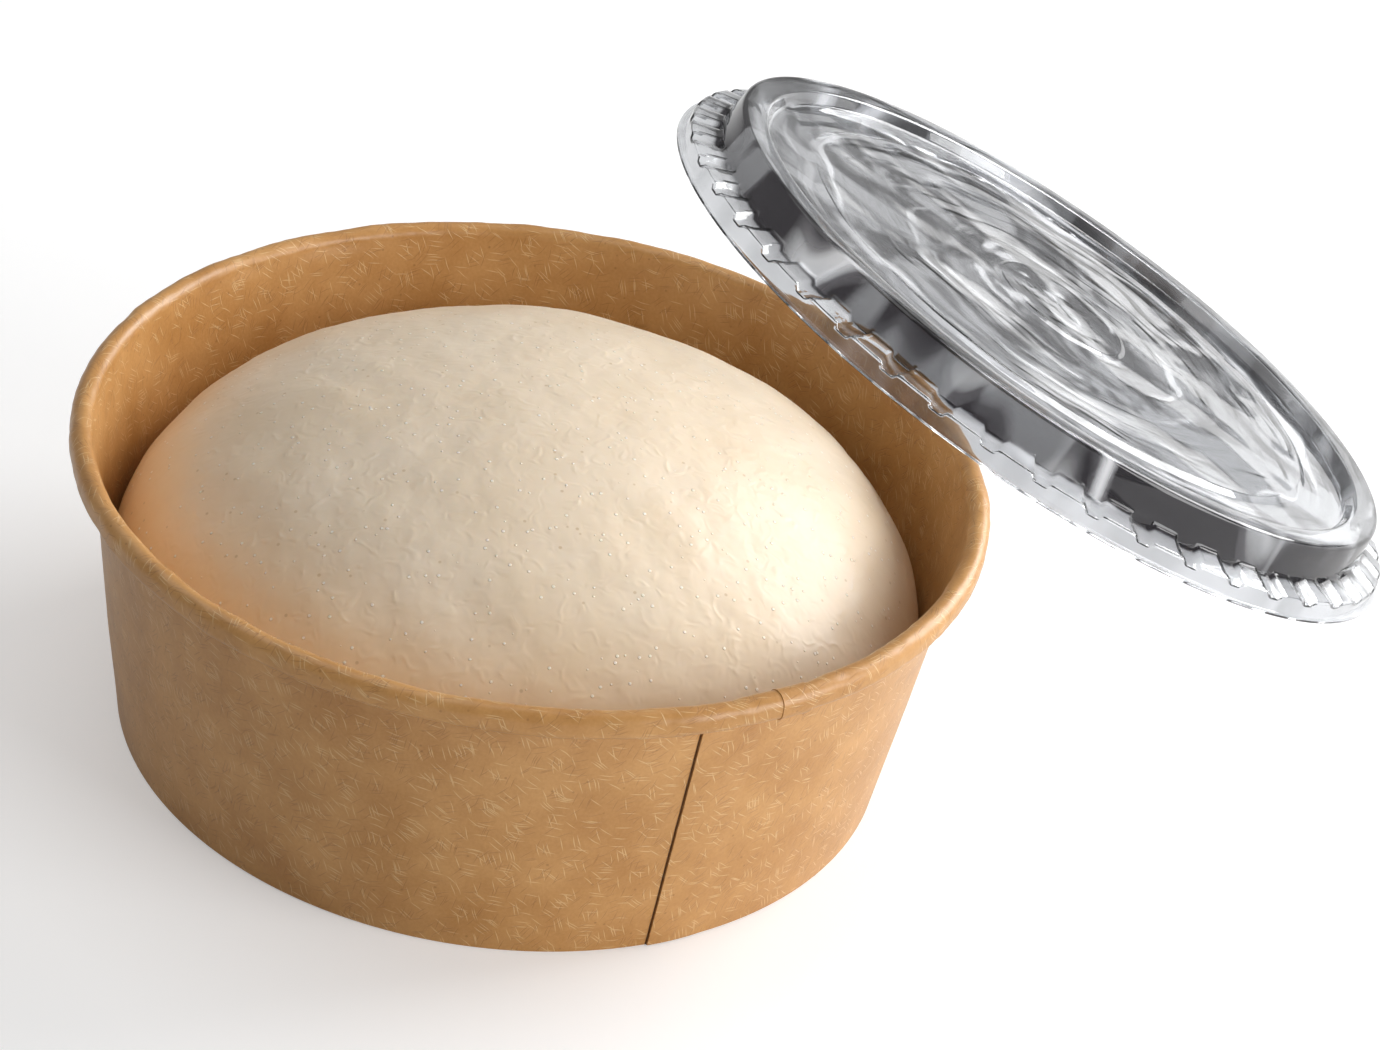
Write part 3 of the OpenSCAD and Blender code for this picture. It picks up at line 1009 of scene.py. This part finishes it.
    def notch_share(self, line: np.ndarray, below: np.ndarray, from_notch: np.ndarray) -> np.ndarray:
        """How far each point is in a notch, from 0 to 1: one row a point, one column an angle."""
        foot_radius, foot_height = self.foot
        out = (line[:, :1] - foot_radius) / (self.skirt_radius - foot_radius)
        half_width = (self.notch_wide + (self.notch_narrow - self.notch_wide) * np.clip(out, 0.0, 1.0)) / 2.0
        across = 1.0 - smooth_step(from_notch[None, :] - half_width, -0.3, 0.3)
        in_reach = (line[:, 0] > foot_radius - below) & (line[:, 1] < foot_height + self.bend)
        return across * in_reach[:, None]

    def painted_dark_reflection_along(self, line: np.ndarray) -> np.ndarray:
        """How much painted dark reflection the sheet gets along the section: least at the lip, most on the steep wall.
        """
        radius = np.array([0.0, 58.0, 66.0, 76.0, 79.0, 84.5, 85.2, 87.0, 88.5, 92.6, 93.2, 94.8]) * MM
        share = np.array([0.72, 0.72, 0.6, 0.75, 0.3, 0.3, 1.3, 1.4, 0.5, 0.3, 0.35, 0.1])
        return np.interp(line[:, 0], radius, share)


def dressed(piece: bpy.types.Object, finish: bpy.types.Material, body: str, node: str) -> bpy.types.Object:
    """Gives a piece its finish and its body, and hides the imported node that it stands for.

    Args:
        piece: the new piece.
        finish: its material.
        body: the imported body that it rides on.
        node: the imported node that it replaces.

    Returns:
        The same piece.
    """
    piece.data.materials.append(finish)
    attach(piece, body)
    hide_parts(node)
    log.info("%s: %d faces, rides on %s", piece.name, len(piece.data.polygons), body)
    return piece


# Studio


@dataclass(frozen=True)
class PhotoCamera:
    """The camera at the photograph's place, fitted to the outlines of the bowl's rim, wall and foot."""

    distance: float = 832.5 * MM
    azimuth: float = -19.78
    elevation: float = 33.67
    roll: float = 7.69
    focal_px: float = 4074.3
    aim_height: float = 32.8 * MM
    aim_px: tuple[float, float] = (518.1, 579.6)

    def build(self) -> bpy.types.Object:
        """Makes the camera and sets it as the scene's.

        The point on the bowl's axis at the aim height lies at aim_px. The camera is turned so that
        it does, and its lens isn't shifted.
        """
        azimuth, elevation = math.radians(self.azimuth), math.radians(self.elevation)
        level = math.cos(elevation)
        back = Vector((math.sin(azimuth) * level, -math.cos(azimuth) * level, math.sin(elevation)))
        facing = back.to_track_quat("Z", "Y").to_matrix().to_4x4()
        rolled = facing @ Matrix.Rotation(math.radians(self.roll), 4, "Z")
        aim = Vector(
            (
                (self.aim_px[0] - PHOTO_WIDTH_PX / 2.0) / self.focal_px,
                (PHOTO_HEIGHT_PX / 2.0 - self.aim_px[1]) / self.focal_px,
                -1.0,
            )
        )
        swing = Vector((0.0, 0.0, -1.0)).rotation_difference(aim).to_matrix().to_4x4()
        data = bpy.data.cameras.new("photo_camera")
        data.sensor_width = SENSOR_MM
        data.lens = SENSOR_MM * self.focal_px / PHOTO_WIDTH_PX
        data.clip_start, data.clip_end = 0.05, 50.0
        camera = bpy.data.objects.new("photo_camera", data)
        bpy.context.scene.collection.objects.link(camera)
        place = Vector((0.0, 0.0, self.aim_height)) + back * self.distance
        camera.matrix_world = Matrix.Translation(place) @ rolled @ swing.inverted()
        bpy.context.scene.camera = camera
        return camera


@dataclass(frozen=True)
class SoftLamp:
    """One square soft lamp that shines at the bowl."""

    name: str
    azimuth: float
    elevation: float
    distance: float
    size: float
    level: float

    def build(self) -> bpy.types.Object:
        """Makes the lamp.

        Level is how bright it alone makes a white surface that faces it, so its power is
        pi squared times the level times the square of its distance.
        """
        azimuth, elevation = math.radians(self.azimuth), math.radians(self.elevation)
        level = math.cos(elevation)
        away = Vector((math.cos(azimuth) * level, math.sin(azimuth) * level, math.sin(elevation)))
        data = bpy.data.lights.new(self.name, "AREA")
        data.shape = "SQUARE"
        data.size = self.size
        data.energy = math.pi**2 * self.level * self.distance**2
        lamp = bpy.data.objects.new(self.name, data)
        lamp.location = away * self.distance
        lamp.rotation_mode = "QUATERNION"
        lamp.rotation_quaternion = away.to_track_quat("Z", "Y")
        bpy.context.scene.collection.objects.link(lamp)
        return lamp


@dataclass(frozen=True)
class Studio:
    """White floor, white surroundings and soft lamps."""

    ambient: float = 0.3
    floor_size: float = 8.0
    floor_albedo: float = 0.8
    floor_lift: float = 0.3
    lamps: tuple[SoftLamp, ...] = (
        SoftLamp("key_lamp", 14.0, 28.0, 1.1, 0.7, 0.9),
        SoftLamp("side_lamp", -46.0, 16.0, 1.2, 0.8, 0.75),
        SoftLamp("top_lamp", 120.0, 70.0, 1.2, 0.9, 0.2),
    )

    def seen(self, tree: bpy.types.NodeTree) -> bpy.types.NodeSocket:
        """1 for rays from the camera, also through the clear sheet, and 0 for the rest."""
        path = add_node(tree, "ShaderNodeLightPath")
        return strongest(tree, [path.outputs["Is Camera Ray"], path.outputs["Is Transmission Ray"]])

    def build(self) -> None:
        """Makes the floor, the surroundings and the lamps."""
        scene = bpy.context.scene
        scene.view_settings.view_transform = "Standard"
        world = bpy.data.worlds.new("white_room")
        world.use_nodes = True
        tree = world.node_tree
        tree.nodes.clear()
        strength = scaled(tree, self.seen(tree), 1.0 - self.ambient, self.ambient)
        sky = add_node(tree, "ShaderNodeBackground", {"Color": (1.0, 1.0, 1.0, 1.0), "Strength": strength})
        add_node(tree, "ShaderNodeOutputWorld", {"Surface": sky.outputs[0]})
        scene.world = world
        self.floor()
        for lamp in self.lamps:
            lamp.build()

    def floor(self) -> bpy.types.Object:
        """A wide white floor. It is lifted to white where it is seen, and keeps the shadow."""
        half = self.floor_size / 2.0
        mesh = bpy.data.meshes.new("studio_floor")
        corners = [(-half, -half, 0.0), (half, -half, 0.0), (half, half, 0.0), (-half, half, 0.0)]
        mesh.from_pydata(corners, [], [(0, 1, 2, 3)])
        floor = bpy.data.objects.new("studio_floor", mesh)
        bpy.context.scene.collection.objects.link(floor)
        material, tree = new_material("studio_white")
        matt = add_node(tree, "ShaderNodeBsdfDiffuse", {"Color": (self.floor_albedo,) * 3 + (1.0,)})
        lift = scaled(tree, self.seen(tree), self.floor_lift)
        glow = add_node(tree, "ShaderNodeEmission", {"Strength": lift})
        both = add_node(tree, "ShaderNodeAddShader", {0: matt.outputs[0], 1: glow.outputs[0]})
        add_node(tree, "ShaderNodeOutputMaterial", {"Surface": both.outputs[0]})
        mesh.materials.append(material)
        return floor


def main() -> None:
    """Builds the studio and the four pieces of the object."""
    logging.basicConfig(level=logging.INFO, format="%(name)s %(message)s")
    PhotoCamera().build()
    Studio().build()
    bowl = PaperBowl()
    kraft = KraftBoard().material()
    bowl.side_wall(kraft)
    bowl.bottom_disc(kraft)
    DoughBall().build(bowl, RawDough().material())
    SnapLid().build(ClearSheet().material())


if __name__ == "__main__":
    main()
